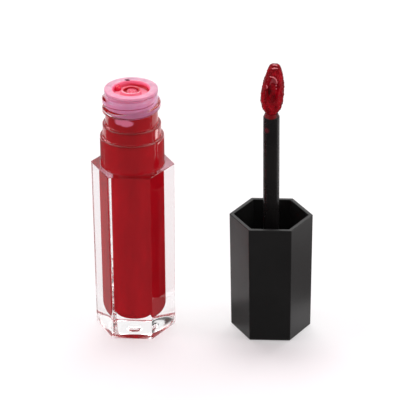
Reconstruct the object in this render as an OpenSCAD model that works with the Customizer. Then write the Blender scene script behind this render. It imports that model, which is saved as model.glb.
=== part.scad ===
// Lip gloss tube: a clear hexagonal bottle standing on its base, and beside it its black
// hexagonal screw cap, upside down on its closed end, with the applicator wand pointing up.
// The cap's pieces are drawn as they sit when the cap is screwed on, so that they share
// the bottle's sizes, and cap_place() then turns them over and stands them aside.

/* [Bottle body] */
// Hexagon's width across flats at the bottle's shoulder
body_flats_top = 18.5; // [18.2:0.1:20]
// Hexagon's width across flats at the bottle's base
body_flats_base = 17.9; // [17.4:0.1:18.5]
// Height of the hexagonal body, from the base to the shoulder
body_h = 46.4; // [44:0.1:52]
// Bevel round the edge of the base
base_bevel = 0.6; // [0.2:0.1:1]
// Width of the flat rim that the bottle stands on, at the middle of a side
foot_rim_w = 0.4; // [0.2:0.1:2]
// Depth of the shallow dish inside that rim
foot_dish_h = 0.45; // [0.2:0.05:0.8]
// Diameter of the moulding gate's well in the middle of the dish
gate_d = 3.7; // [2:0.1:5]
// Depth of that well above the dish
gate_h = 0.6; // [0.2:0.1:1]
// Thickness of the clear floor under the gloss, down to the rim
floor_t = 4.2; // [2.5:0.1:4.3]
// Diameter of the round cavity and of the bore in the neck
cavity_d = 10.2; // [9.8:0.1:10.6]
// Radius of the round corner at the cavity's bottom
cavity_corner = 2.5; // [1:0.1:4]

/* [Neck] */
// Diameter of the round collar on the shoulder
collar_d = 16.2; // [15.4:0.1:16.3]
// Height of the collar
collar_h = 8.1; // [6:0.1:8.5]
// Diameter of the step above the collar
step_d = 14.8; // [14:0.1:15.2]
// Height of the step
step_h = 3.3; // [2:0.1:3.6]
// Diameter of the neck at the root of its thread
neck_d = 13.3; // [13:0.1:13.4]
// Height of the threaded neck above the step
neck_h = 8.4; // [8.2:0.1:9]
// Bevel on the top edges of collar, step and neck
edge_bevel = 0.35; // [0.1:0.05:0.5]

/* [Screw thread] */
// Rise of the thread in one turn
thread_pitch = 2.5; // [2.4:0.05:2.8]
// Diameter over the bottle's thread
thread_d = 14.7; // [14.5:0.05:14.7]
// Width of the bottle's thread at its foot
thread_foot_w = 1.9; // [1.5:0.05:1.95]
// Width of the bottle's thread at its crest
thread_crest_w = 0.9; // [0.6:0.05:1]
// Height above the step of the thread's middle line where it passes the left side
thread_rise = 3.7; // [3.6:0.05:3.9]
// Direction in which the thread starts, in degrees round the axis
thread_start = 140; // [120:5:180]
// How far round the thread runs, in degrees
thread_run = 560; // [400:5:560]
// How far round each end of the thread takes to fade out, in degrees
thread_fade = 40; // [20:5:60]
// Gap all round between the bottle's thread and the inner cap
thread_gap = 0.15; // [0.1:0.05:0.15]

/* [Wiper insert] */
// Diameter of the flange on the neck's top
wiper_flange_d = 13.5; // [12:0.1:14]
// Thickness of the flange
wiper_flange_t = 0.8; // [0.5:0.05:1]
// Depth of the sleeve below the neck's top
wiper_sleeve_h = 5.0; // [4:0.1:6]
// Thickness of the sleeve's wall round the open mouth
wiper_wall = 0.5; // [0.4:0.05:0.8]
// Thickness of the web between the sleeve and the middle tube
wiper_web_t = 0.8; // [0.5:0.1:1.5]
// Depth of the web's top face below the flange's top
wiper_web_depth = 1.6; // [1.5:0.1:3.5]
// Outer diameter of the middle tube
wiper_tube_d = 5.1; // [4.8:0.1:6]
// Depth of the middle tube's top below the flange's top
wiper_tube_drop = 0.5; // [0.1:0.1:1.4]
// Length of the middle tube below the web
wiper_tube_tail = 6.6; // [3:0.1:8]
// Diameter of the hole that wipes the stem, a little less than the stem
wiper_hole_d = 3.8; // [3.6:0.05:3.95]
// Gap round the sleeve in the neck's bore
wiper_fit = 0.02; // [0.01:0.01:0.05]

/* [Gloss fill] */
// Distance of the gloss's top below the wiper's sleeve
fill_drop = 0.3; // [0.2:0.1:4]
// Gap kept between the gloss and the clear wall
fill_gap = 0.04; // [0.02:0.01:0.1]
// Gap kept between the gloss and the wiper's middle tube
fill_tube_gap = 0.1; // [0.05:0.05:0.5]

/* [Cap] */
// Height of the cap from its closed end to its rim
cap_h = 31.9; // [31:0.1:36]
// Hexagon's width across flats at the cap's rim
cap_flats_rim = 18.5; // [18.4:0.1:20]
// Hexagon's width across flats at the cap's closed end
cap_flats_end = 17.9; // [17.8:0.1:18.5]
// Thickness of the cap's side walls, measured square to a flat
cap_wall = 1.0; // [0.9:0.05:1]
// Thickness of the cap's closed end
cap_end_t = 1.5; // [1:0.1:1.5]
// Bevel round the edge of the closed end
cap_bevel = 0.3; // [0.2:0.1:0.7]

/* [Inner cap] */
// Gap between the inner cap and the cap's walls
liner_fit = 0.02; // [0.01:0.01:0.05]
// Distance from the top of the bottle's step to the inner cap's mouth
liner_mouth_gap = 0.6; // [0.3:0.1:1.5]
// Thickness of the plate above the sealing disc
liner_plate_t = 1.2; // [1:0.1:1.5]
// Diameter of the socket boss that holds the stem
boss_d = 7.0; // [6:0.1:8]
// Number of ribs round the boss
rib_count = 6; // [3:1:6]
// Thickness of each rib
rib_t = 0.9; // [0.7:0.1:1.2]
// How far the ribs reach out from the axis
rib_reach = 7.0; // [5:0.1:7.4]
// Width of the inner thread at its foot
inner_thread_foot_w = 1.2; // [1:0.05:1.3]
// Width of the inner thread at its crest
inner_thread_crest_w = 0.4; // [0.3:0.05:0.5]
// Gap between the inner thread's crest and the bottle's neck
inner_thread_gap = 0.2; // [0.15:0.05:0.25]
// How far round the inner thread runs, in degrees
inner_thread_run = 450; // [360:5:470]

/* [Sealing disc] */
// Thickness of the sealing disc
seal_t = 0.7; // [0.5:0.05:1]
// Outer diameter of the sealing disc
seal_d = 14.4; // [13.8:0.1:14.5]
// Gap round the stem in the disc's hole
seal_hole_gap = 0.15; // [0.1:0.05:0.5]
// Gap left between the disc and the plate above it
seal_back_gap = 0.03; // [0.02:0.01:0.1]

/* [Wand stem] */
// Diameter of the stem
stem_d = 4.15; // [4:0.05:4.3]
// Height of the stem's lower end above the bottle's base when the cap is on
stem_end_z = 17.9; // [17.8:0.1:22]
// Length of the taper at the stem's lower end
stem_taper_h = 1.1; // [0.5:0.1:2]
// Diameter of the stem at the end of the taper
stem_taper_d = 3.2; // [3:0.1:3.6]
// Distance from the stem's top end to the cap's closed end inside
stem_top_gap = 0.8; // [0.3:0.1:2]
// Gap round the stem in the inner cap's socket
stem_fit = 0.01; // [0.01:0.01:0.03]

/* [Applicator tip] */
// Length of the tip below the stem
tip_l = 13.3; // [12:0.1:13.4]
// Widest width of the flocked tip
tip_w = 6.0; // [5:0.1:6.4]
// Thickness of the flocked tip from its face to its back
tip_t = 4.4; // [3.6:0.1:5]
// Distance from the stem to the tip's widest place
tip_wide_at = 4.8; // [4:0.1:6]
// Width and thickness of the tip where it leaves the stem
tip_neck_d = 3.3; // [2.8:0.1:3.6]
// Distance from the stem to the place where the tip's lower part swells
tip_swell_at = 1.8; // [1.2:0.1:3]
// Width of the tip at that swelling
tip_swell_w = 4.9; // [4:0.1:5]
// Thickness of the tip at that swelling
tip_swell_t = 3.9; // [3.4:0.1:4.2]
// Distance from the stem to the place where the tip starts to narrow to its end
tip_upper_at = 9.6; // [8.5:0.1:10]
// Width of the tip at that place
tip_upper_w = 4.7; // [4:0.1:5]
// Thickness of the tip at that place
tip_upper_t = 3.6; // [3:0.1:4.2]
// Diameter of the tip's round end
tip_end_d = 2.6; // [2:0.1:3]
// Gap between the flock and the end of the stem
flock_drop = 0.15; // [0.15:0.05:0.4]
// How far the tip leans to one side, in degrees
tip_lean = 3.6; // [0:0.2:5]
// Thickness of the flock on its core
flock_t = 0.55; // [0.4:0.05:0.7]
// Gap kept between the flock and its core
flock_gap = 0.03; // [0.02:0.01:0.05]
// Length of the dimple in the tip's face
dimple_l = 7.0; // [4:0.1:8]
// Width of the dimple
dimple_w = 3.0; // [2:0.1:4]
// Depth of the dimple
dimple_depth = 0.9; // [0.4:0.05:1.1]
// Distance from the stem to the dimple's middle
dimple_at = 6.2; // [5:0.1:7]
// Diameter of the core's plug in the stem
plug_d = 2.0; // [1.6:0.1:2.2]
// Length of the core's plug in the stem
plug_l = 5.0; // [3:0.1:8]
// Depth to which the plug runs down inside the core
plug_sink = 1.5; // [0.5:0.1:3]
// Gap round the plug and at its end
plug_fit = 0.01; // [0.01:0.01:0.03]

/* [Standing apart] */
// Distance of the cap's axis to the right of the bottle's axis
cap_spacing = 35.0; // [24:0.5:60]
// Distance of the cap's axis behind the bottle's axis
cap_setback = 2.0; // [-10:0.5:10]
// Turn of the cap round its own axis, in degrees
cap_turn = 2; // [-30:1:30]

/* [Hidden] */
$fn = 96;
// sine of 60 degrees: a hexagon's width across flats over its width across corners
hex_ratio = sin(60);
foot_dish_r = body_flats_base / 2 - base_bevel - foot_rim_w;
collar_z = body_h + collar_h;
step_z = collar_z + step_h;
neck_z = step_z + neck_h;
lip_z = neck_z + wiper_flange_t;
closed_h = body_h + cap_h;
cap_inner_z = closed_h - cap_end_t;
wiper_sleeve_d = cavity_d - 2 * wiper_fit;
wiper_mouth_d = wiper_sleeve_d - 2 * wiper_wall;
web_z = lip_z - wiper_web_depth;
sleeve_z = neck_z - wiper_sleeve_h;
tail_z = web_z - wiper_web_t - wiper_tube_tail;
fill_z = sleeve_z - fill_drop;
liner_z = step_z + liner_mouth_gap;
plate_z = lip_z + seal_t + seal_back_gap;
plate_top_z = plate_z + liner_plate_t;
thread_left_z = step_z + thread_rise;
thread_start_z = thread_left_z + thread_pitch * (thread_start - 180) / 360;
thread_depth = (thread_d - neck_d) / 2;
liner_bore_d = thread_d + 2 * thread_gap;
inner_crest_d = neck_d + 2 * inner_thread_gap;
inner_thread_depth = (liner_bore_d - inner_crest_d) / 2;
stem_top_z = cap_inner_z - stem_top_gap;
// how far a cut runs past the solid it cuts
over = 0.5;
// how far a thread's foot is sunk into the wall that carries it
sink = 0.3;
// how flat the dish's roof is: the larger the power, the nearer its slope is to the rim
dish_power = 8;
dish_steps = 8;
// angle between two cross sections of a thread
thread_step = 10;

// hexagon's across-flats width at height z on a wall that tapers from low to high
function taper(low, high, z, h) = low + (high - low) * z / h;

// hexagonal prism with corners on the X axis; outline gives half a flat-to-flat section
module hex_body(outline, width) {
    intersection_for (turn = [0, 60, 120])
        rotate([90, 0, turn + 90])
            linear_extrude(height = width, center = true)
                polygon(outline);
}

// tapered hexagon from z = low_z to z = high_z, given its widths across flats
module hex_taper(low_z, high_z, flats_low, flats_high) {
    hex_body([[-flats_low / 2, low_z],
              [flats_low / 2, low_z],
              [flats_high / 2, high_z],
              [-flats_high / 2, high_z]], 3 * flats_high);
}

// one cross section of a thread: r_foot is where it is rooted, r_crest where it ends
function thread_ring(a, z, r_foot, r_crest, foot_w, crest_w) = [
    [r_foot * cos(a), r_foot * sin(a), z - foot_w / 2],
    [r_crest * cos(a), r_crest * sin(a), z - crest_w / 2],
    [r_crest * cos(a), r_crest * sin(a), z + crest_w / 2],
    [r_foot * cos(a), r_foot * sin(a), z + foot_w / 2]];

// helical ridge of trapezoid section, rooted at r_root and fading out at both ends;
// depth is positive for a thread that stands outwards and negative inwards
module thread(r_root, depth, foot_w, crest_w, z, start, run) {
    side = depth > 0 ? 1 : -1;
    count = ceil(run / thread_step);
    r_foot = r_root - side * sink;
    rings = [for (i = [0:count])
        let (a = run * i / count,
             fade = min(1, a / thread_fade, (run - a) / thread_fade),
             r_crest = r_root + depth * fade - side * sink / 2 * (1 - fade))
        thread_ring(start + a, z + thread_pitch * a / 360, r_foot, r_crest, foot_w, crest_w)];
    points = [for (ring = rings) each ring];
    last = 4 * count;
    skin = [for (i = [0:count - 1], k = [0:3])
        let (n = (k + 1) % 4)
        each [[4 * i + k, 4 * i + n, 4 * i + 4 + n],
              [4 * i + k, 4 * i + 4 + n, 4 * i + 4 + k]]];
    ends = [[0, 3, 2], [0, 2, 1], [last, last + 1, last + 2], [last, last + 2, last + 3]];
    faces = concat(skin, ends);
    polyhedron(points, side > 0 ? faces : [for (f = faces) [f[2], f[1], f[0]]]);
}

// turns the cap's pieces over and stands them beside the bottle
module cap_place() {
    translate([cap_spacing, cap_setback, closed_h])
        rotate([180, 0, cap_turn])
            children();
}

// clear one-piece moulding: hexagonal body, collar, step and threaded neck
module bottle() {
    color([0.95, 0.93, 0.94, 0.35])
    difference() {
        union() {
            bottle_body();
            bottle_neck();
            thread(neck_d / 2, thread_depth, thread_foot_w, thread_crest_w,
                   thread_start_z, thread_start, thread_run);
        }
        cavity(0, neck_z + over);
        foot_dish();
    }
}

// shallow round dish under the base, with the gate's well in its roof
module foot_dish() {
    roof = [for (i = [0:dish_steps])
        let (part = 1 - pow(1 - i / dish_steps, 2))
        [foot_dish_r * part, foot_dish_h * (1 - pow(part, dish_power))]];
    rotate_extrude()
        polygon(concat([[0, -over]], roof, [[foot_dish_r, -over]]));
    cylinder(d = gate_d, h = foot_dish_h + gate_h);
}

module bottle_body() {
    half_base = body_flats_base / 2;
    half_top = body_flats_top / 2;
    hex_body([[base_bevel - half_base, 0],
              [half_base - base_bevel, 0],
              [half_base, base_bevel],
              [half_top, body_h],
              [-half_top, body_h],
              [-half_base, base_bevel]], 3 * body_flats_top);
}

module bottle_neck() {
    rotate_extrude()
        polygon([[0, body_h - over],
                 [collar_d / 2, body_h - over],
                 [collar_d / 2, collar_z - edge_bevel],
                 [collar_d / 2 - edge_bevel, collar_z],
                 [step_d / 2, collar_z],
                 [step_d / 2, step_z - edge_bevel],
                 [step_d / 2 - edge_bevel, step_z],
                 [neck_d / 2, step_z],
                 [neck_d / 2, neck_z - edge_bevel],
                 [neck_d / 2 - edge_bevel, neck_z],
                 [0, neck_z]]);
}

// the round cavity with its rounded bottom, drawn smaller all round by inset
module cavity(inset, top_z) {
    r = cavity_d / 2 - inset;
    low_z = floor_t + inset;
    corner = cavity_corner - inset;
    rotate_extrude()
        union() {
            translate([0, low_z])
                square([r - corner, corner]);
            translate([r - corner, low_z + corner])
                intersection() {
                    circle(r = corner);
                    translate([0, -corner])
                        square(corner);
                }
            translate([0, low_z + corner])
                square([r, top_z - low_z - corner]);
        }
}

// red gloss: fills the cavity up to the wiper and surrounds the wiper's middle tube
module gloss_fill() {
    color([0.56, 0.09, 0.11])
    difference() {
        cavity(fill_gap, fill_z);
        translate([0, 0, tail_z - fill_tube_gap])
            cylinder(d = wiper_tube_d + 2 * fill_tube_gap, h = fill_z - tail_z + over);
    }
}

// soft insert: flange on the neck, sleeve in its bore, web, and the tube that wipes
module wiper_insert() {
    color([0.93, 0.62, 0.75, 0.8])
    difference() {
        union() {
            translate([0, 0, neck_z])
                cylinder(d = wiper_flange_d, h = wiper_flange_t);
            translate([0, 0, sleeve_z])
                cylinder(d = wiper_sleeve_d, h = wiper_sleeve_h + over);
        }
        translate([0, 0, web_z])
            wiper_moat(lip_z - web_z + over);
        translate([0, 0, sleeve_z - over])
            wiper_moat(web_z - wiper_web_t - sleeve_z + over);
        translate([0, 0, tail_z - over])
            cylinder(d = wiper_hole_d, h = lip_z - tail_z + 2 * over);
        translate([0, 0, lip_z - wiper_tube_drop])
            cylinder(d = wiper_mouth_d, h = wiper_tube_drop + over);
    }
    color([0.93, 0.62, 0.75, 0.8])
    difference() {
        translate([0, 0, tail_z])
            cylinder(d = wiper_tube_d, h = sleeve_z - tail_z + over);
        translate([0, 0, tail_z - over])
            cylinder(d = wiper_hole_d, h = sleeve_z - tail_z + 3 * over);
    }
}

// ring-shaped space between the wiper's sleeve and its middle tube
module wiper_moat(h) {
    difference() {
        cylinder(d = wiper_mouth_d, h = h);
        translate([0, 0, -over])
            cylinder(d = wiper_tube_d, h = h + 2 * over);
    }
}

// outer cap: hexagonal pot with thin walls
module cap() {
    half_rim = cap_flats_rim / 2;
    half_end = cap_flats_end / 2;
    color([0.13, 0.13, 0.13])
    cap_place()
        difference() {
            hex_body([[-half_rim, body_h],
                      [half_rim, body_h],
                      [half_end, closed_h - cap_bevel],
                      [half_end - cap_bevel, closed_h],
                      [cap_bevel - half_end, closed_h],
                      [-half_end, closed_h - cap_bevel]], 3 * cap_flats_rim);
            hex_taper(body_h - over, cap_inner_z,
                      cap_inside(body_h - over), cap_inside(cap_inner_z));
        }
}

// width across flats inside the cap at height z
function cap_inside(z) = taper(cap_flats_rim, cap_flats_end, z - body_h, cap_h) - 2 * cap_wall;

// threaded liner: hexagonal outside, with the stem's socket in a ribbed boss
module inner_cap() {
    color([0.09, 0.09, 0.09])
    cap_place()
        difference() {
            union() {
                difference() {
                    hex_taper(liner_z, plate_top_z,
                              cap_inside(liner_z) - 2 * liner_fit,
                              cap_inside(plate_top_z) - 2 * liner_fit);
                    translate([0, 0, liner_z - over])
                        cylinder(d = liner_bore_d, h = plate_z - liner_z + over);
                }
                translate([0, 0, plate_top_z - over])
                    cylinder(d = boss_d, h = cap_inner_z - liner_fit - plate_top_z + over);
                for (i = [0:rib_count - 1])
                    rotate(i * 360 / rib_count + 30)
                        translate([0, -rib_t / 2, plate_top_z - over])
                            cube([rib_reach, rib_t, cap_inner_z - liner_fit - plate_top_z + over]);
                thread(liner_bore_d / 2, -inner_thread_depth, inner_thread_foot_w,
                       inner_thread_crest_w, thread_start_z - thread_pitch / 2,
                       thread_start, inner_thread_run);
            }
            translate([0, 0, plate_z - over])
                cylinder(d = stem_d + 2 * stem_fit, h = stem_top_z - plate_z + over + stem_fit);
        }
}

// soft ring that closes on the wiper's flange when the cap is on
module seal_disc() {
    color([0.86, 0.84, 0.82])
    cap_place()
        translate([0, 0, lip_z])
            difference() {
                cylinder(d = seal_d, h = seal_t);
                translate([0, 0, -over])
                    cylinder(d = stem_d + 2 * seal_hole_gap, h = seal_t + 2 * over);
            }
}

// round rod with a tapered end and a blind bore for the applicator's plug
module wand_stem() {
    color([0.12, 0.12, 0.12])
    cap_place()
        difference() {
            union() {
                translate([0, 0, stem_end_z])
                    cylinder(d1 = stem_taper_d, d2 = stem_d, h = stem_taper_h);
                translate([0, 0, stem_end_z + stem_taper_h])
                    cylinder(d = stem_d, h = stem_top_z - stem_end_z - stem_taper_h);
            }
            translate([0, 0, stem_end_z - over])
                cylinder(d = plug_d + 2 * plug_fit, h = plug_l + over + plug_fit);
        }
}

// the tip, drawn smaller all round by inset; z = 0 is at the stem and the tip hangs down
module tip_shape(inset) {
    difference() {
        tip_paddle(inset);
        tip_dimple(inset);
    }
}

module tip_paddle(inset) {
    hull() {
        tip_slice(0, tip_neck_d / 2 - inset, tip_neck_d / 2 - inset);
        tip_slice(tip_swell_at, tip_swell_w / 2 - inset, tip_swell_t / 2 - inset);
        tip_slice(tip_wide_at, tip_w / 2 - inset, tip_t / 2 - inset);
    }
    hull() {
        tip_slice(tip_wide_at, tip_w / 2 - inset, tip_t / 2 - inset);
        tip_slice(tip_upper_at, tip_upper_w / 2 - inset, tip_upper_t / 2 - inset);
        translate([0, 0, tip_end_d / 2 - tip_l])
            sphere(d = tip_end_d - 2 * inset, $fn = 32);
    }
}

// long hollow in the tip's face, which the core follows under the flock
module tip_dimple(inset) {
    translate([0, tip_t / 2, -dimple_at])
        scale([dimple_w / 2 + inset, dimple_depth + inset, dimple_l / 2 + inset])
            sphere(r = 1, $fn = 32);
}

// thin oval slice of the tip at a distance from the stem
module tip_slice(at, half_w, half_t) {
    translate([0, 0, -at])
        scale([half_w, half_t, 1])
            cylinder(r = 1, h = 0.05, $fn = 32);
}

// puts the tip on the stem's end with its lean
module tip_place() {
    cap_place()
        translate([0, 0, stem_end_z - flock_drop])
            rotate([0, -tip_lean, 0])
                children();
}

module tip_flock() {
    color([0.5, 0.03, 0.07])
    tip_place()
        difference() {
            tip_shape(0);
            tip_shape(flock_t);
        }
}

// plastic spine under the flock, with the plug that sits in the stem
module tip_core() {
    color([0.85, 0.8, 0.78]) {
        tip_place()
            tip_shape(flock_t + flock_gap);
        cap_place()
            translate([0, 0, stem_end_z - plug_sink])
                cylinder(d = plug_d, h = plug_l + plug_sink);
    }
}

bottle();
gloss_fill();
wiper_insert();
cap();
inner_cap();
seal_disc();
wand_stem();
tip_core();
tip_flock();
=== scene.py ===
import math
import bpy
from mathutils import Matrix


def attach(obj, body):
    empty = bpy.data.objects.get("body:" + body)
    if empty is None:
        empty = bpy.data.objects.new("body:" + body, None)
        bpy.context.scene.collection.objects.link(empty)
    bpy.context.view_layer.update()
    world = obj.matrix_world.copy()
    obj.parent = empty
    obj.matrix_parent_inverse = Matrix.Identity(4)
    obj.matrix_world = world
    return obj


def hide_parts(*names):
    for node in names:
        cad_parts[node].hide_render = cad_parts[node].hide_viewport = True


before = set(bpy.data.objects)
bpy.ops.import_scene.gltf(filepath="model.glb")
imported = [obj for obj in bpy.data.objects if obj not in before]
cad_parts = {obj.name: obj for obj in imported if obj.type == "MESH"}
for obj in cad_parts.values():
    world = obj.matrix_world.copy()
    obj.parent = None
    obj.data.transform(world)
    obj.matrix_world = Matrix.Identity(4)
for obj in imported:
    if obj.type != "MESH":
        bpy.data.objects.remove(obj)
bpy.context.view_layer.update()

from types import SimpleNamespace

import bmesh
import bpy
import numpy as np
from mathutils import Matrix, Vector, noise
from mathutils.bvhtree import BVHTree

MM = 0.001

# ---------------------------------------------------------------- camera
CAM_POS = (0.07445, -0.63287, 0.35567)
CAM_PITCH = 0.4657      # down from level
CAM_YAW = -0.0905       # from +Y towards +X
CAM_ROLL = -0.0095
CAM_LENS = 252.0
CAM_SENSOR = 36.0
FRAME_PX = 400.0

# image points of the photograph, in pixels: the object's edges, then features
EDGES = {"left": 90.4, "right": 312.9, "top": 62.6, "bottom": 341.5}
POINTS = {
    "shoulder_right": (174.9, 164.4),
    "base_front_left": (112.0, 339.4),
    "base_front_right": (152.5, 340.3),
    "cap_rim_left": (229.4, 213.8),
    "cap_base_front_left": (249.9, 340.7),
    "mouth": (131.2, 88.4),
    "stem_end": (271.0, 113.2),
    "gloss_drop": (117.1, 88.8),
    "gloss_speck": (127.0, 80.0),
    "stem_smear": (266.5, 130.5),
    "ridge_rim": (273.5, 79.4),
    "ridge_row": (276.4, 87.1),
    "ridge_left": (266.8, 86.7),
    "ridge_top": (274.8, 68.6),
    "ridge_end": (274.8, 65.2),
    "tip_shade": (269.2, 92.0),
}

cos, sin, pi = math.cos, math.sin, math.pi
forward = Vector((sin(CAM_YAW) * cos(CAM_PITCH), cos(CAM_YAW) * cos(CAM_PITCH), -sin(CAM_PITCH)))
level = Vector((cos(CAM_YAW), -sin(CAM_YAW), 0.0))
rise = level.cross(forward)
right = level * cos(CAM_ROLL) + rise * sin(CAM_ROLL)
above = rise * cos(CAM_ROLL) - level * sin(CAM_ROLL)
cam_data = bpy.data.cameras.new("camera")
cam_data.lens = CAM_LENS
cam_data.sensor_width = CAM_SENSOR
cam_data.sensor_fit = "AUTO"
cam_data.clip_start = 0.01
cam_data.clip_end = 20.0
cam = bpy.data.objects.new("camera", cam_data)
cam.matrix_world = Matrix((
    (right.x, above.x, -forward.x, CAM_POS[0]),
    (right.y, above.y, -forward.y, CAM_POS[1]),
    (right.z, above.z, -forward.z, CAM_POS[2]),
    (0, 0, 0, 1)))
bpy.context.scene.collection.objects.link(cam)
bpy.context.scene.camera = cam


def to_px(p):
    """Where a point of the scene shows in the photograph's frame."""
    d = Vector(p) - Vector(CAM_POS)
    depth = d.dot(forward)
    k = CAM_LENS / CAM_SENSOR * FRAME_PX / depth
    return FRAME_PX / 2 + k * d.dot(right), FRAME_PX / 2 - k * d.dot(above)


def tree_of(obj):
    """The BVH tree of a piece as finished and placed."""
    return BVHTree.FromPolygons([obj.matrix_world @ v.co for v in obj.data.vertices],
                                [tuple(f.vertices) for f in obj.data.polygons])


MISS_REACH = 60     # how far along a ray that misses a piece its nearest place is looked for, in mm


def place(point, carrier):
    """Where the camera's ray through an image point meets a piece, in mm."""
    shift_x, shift_y = cam_data.shift_x * FRAME_PX, cam_data.shift_y * FRAME_PX
    aim = Vector((point[0] - FRAME_PX / 2 + shift_x, FRAME_PX / 2 - point[1] + shift_y,
                  -FRAME_PX * CAM_LENS / CAM_SENSOR))
    aim = (cam.matrix_world.to_3x3() @ aim).normalized()
    start = Vector(CAM_POS)
    tree = tree_of(carrier)
    hit = tree.ray_cast(start, aim)[0]
    if hit is None:
        # a miss takes the place nearest the ray
        reach = (carrier.data.vertices[0].co - start).dot(aim)
        steps = range(-MISS_REACH, MISS_REACH + 1)
        tries = [tree.find_nearest(start + aim * (reach + step * MM)) for step in steps]
        hit = min(tries, key=lambda found: found[3])[0]
    return hit / MM


# ---------------------------------------------------------------- sizes, as in the part's source (mm)
BODY_TOP, BODY_BASE, BODY_H = 18.5, 17.9, 46.4
COLLAR_R, COLLAR_Z = 8.1, 54.5
STEP_R, STEP_Z = 7.4, 57.8
NECK_R, NECK_Z = 6.65, 66.2
CAVITY_R, FLOOR_T, CAVITY_CORNER = 5.1, 4.2, 2.5
THREAD_DEPTH, THREAD_PITCH, THREAD_HALF, THREAD_FLANK = 0.7, 2.5, 1.02, 0.55
THREAD_LEFT_Z, THREAD_START, THREAD_RUN, THREAD_FADE = 61.5, 140.0, 560.0, 40.0
LIP_Z, FLANGE_R, MOUTH_R, SLEEVE_R = 67.0, 6.75, 4.58, 5.13
SLEEVE_Z, WEB_Z, WEB_T = 61.2, 65.4, 0.8
TUBE_R, TUBE_TOP, TUBE_TAIL, HOLE_R = 2.55, 66.5, 58.0, 1.9
FILL_Z = 60.9
CAP_AXIS, CAP_TURN = (35.0, 2.0), 2.0
CAP_H, CAP_RIM, CAP_END, CAP_WALL, CAP_END_T = 31.9, 18.5, 17.9, 1.0, 1.5
STEM_TOP = 60.4
TIP_L, TIP_LEAN = 13.3, 3.6

# rounded edges of the visible model (mm)
BASE_EDGE, SHOULDER_EDGE, COLLAR_EDGE, STEP_EDGE, NECK_EDGE, BORE_EDGE = 0.6, 0.14, 0.42, 0.4, 0.25, 0.12
COLLAR_FOOT, STEP_FOOT, NECK_FOOT = 0.1, 0.12, 0.15
BODY_CORNER, CAP_CORNER, CAP_INNER_CORNER, CAP_END_CORNER = 0.6, 0.4, 0.3, 0.3
CAP_END_EDGE, CAP_RIM_EDGE = 0.3, 0.16
TUBE_EDGE, WEB_FILLET, MOUTH_EDGE, FLANGE_EDGE, FLANGE_FOOT = 0.18, 0.3, 0.4, 0.22, 0.08


# ---------------------------------------------------------------- mesh code
def new_object(name, verts, faces, smooth=True):
    """A mesh object in the scene, its points given in mm."""
    mesh = bpy.data.meshes.new(name)
    mesh.from_pydata([tuple(c * MM for c in v) for v in verts], [], faces)
    mesh.validate()
    bm = bmesh.new()
    bm.from_mesh(mesh)
    bmesh.ops.recalc_face_normals(bm, faces=bm.faces)
    bm.to_mesh(mesh)
    bm.free()
    mesh.polygons.foreach_set("use_smooth", [smooth] * len(mesh.polygons))
    mesh.update()
    obj = bpy.data.objects.new(name, mesh)
    bpy.context.scene.collection.objects.link(obj)
    return obj


def loft(name, rings, loop=False):
    """Skins rings of equal length; a ring with one point is a pole."""
    verts, faces, index = [], [], []
    for ring in rings:
        index.append(list(range(len(verts), len(verts) + len(ring))))
        verts.extend(ring)
    pairs = list(zip(index, index[1:])) + ([(index[-1], index[0])] if loop else [])
    for a, b in pairs:
        n = max(len(a), len(b))
        for i in range(n):
            j = (i + 1) % n
            if len(a) == 1:
                faces.append((a[0], b[i], b[j]))
            elif len(b) == 1:
                faces.append((a[i], b[0], a[j]))
            else:
                faces.append((a[i], b[i], b[j], a[j]))
    return new_object(name, verts, faces)


def fillet(x0, y0, r, a0, a1, n=5):
    """Points of an arc round (x0, y0), angles in degrees."""
    turns = [math.radians(a0 + (a1 - a0) * i / n) for i in range(n + 1)]
    return [(x0 + r * cos(a), y0 + r * sin(a)) for a in turns]


def lathe(name, profile, steps=128, loop=False):
    """Turns a list of (radius, height) round the Z axis."""
    turn = [2 * pi * k / steps for k in range(steps)]
    rings = []
    for r, z in profile:
        if r < 1e-6:
            rings.append([(0.0, 0.0, z)])
        else:
            rings.append([(r * cos(a), r * sin(a), z) for a in turn])
    return loft(name, rings, loop=loop)


def hex_radius(a, flats, corner):
    """Radius at angle a of a hexagon with rounded corners, one corner on +X."""
    d = abs((a + pi / 6) % (pi / 3) - pi / 6)
    centre = (flats / 2 - corner) / cos(pi / 6)
    if d < math.atan2(corner * 0.5, centre + corner * cos(pi / 6)):
        return centre * cos(d) + math.sqrt(max(0.0, corner ** 2 - (centre * sin(d)) ** 2))
    return flats / 2 / cos(pi / 6 - d)


def hex_angles():
    """Angles of one ring: close together round each corner, even along the flats."""
    half = [0.55, 1.1, 1.7, 2.3, 2.9, 3.6]
    near = [-d for d in reversed(half)] + [0.0] + half
    along = [6.0 + 3.0 * i for i in range(17)]
    return [math.radians(60 * k + d) for k in range(6) for d in near + along]


ANGLES = hex_angles()


def ring_at(z, radius_at):
    """A ring round the Z axis, its radius worked out from the angle."""
    return [(r * cos(a), r * sin(a), z) for r, a in zip(map(radius_at, ANGLES), ANGLES)]


def hex_ring(flats, corner, z):
    return ring_at(z, lambda a: hex_radius(a, flats, corner))


def round_ring(r, z):
    return ring_at(z, lambda a: r)


def smoothstep(t):
    t = min(1.0, max(0.0, t))
    return t * t * (3 - 2 * t)


def thread_height(a, z):
    """How far the bottle's thread stands out of the neck at angle a (radians) and height z."""
    h = 0.0
    for turn in range(3):
        deg = math.degrees(a) % 360 + 360 * turn
        along = deg - THREAD_START
        if along < 0 or along > THREAD_RUN:
            continue
        mid = THREAD_LEFT_Z + THREAD_PITCH * (deg - 180) / 360
        fade = smoothstep(min(along, THREAD_RUN - along) / THREAD_FADE)
        h = max(h, THREAD_DEPTH * fade * smoothstep((THREAD_HALF - abs(z - mid)) / THREAD_FLANK))
    return h


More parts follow.
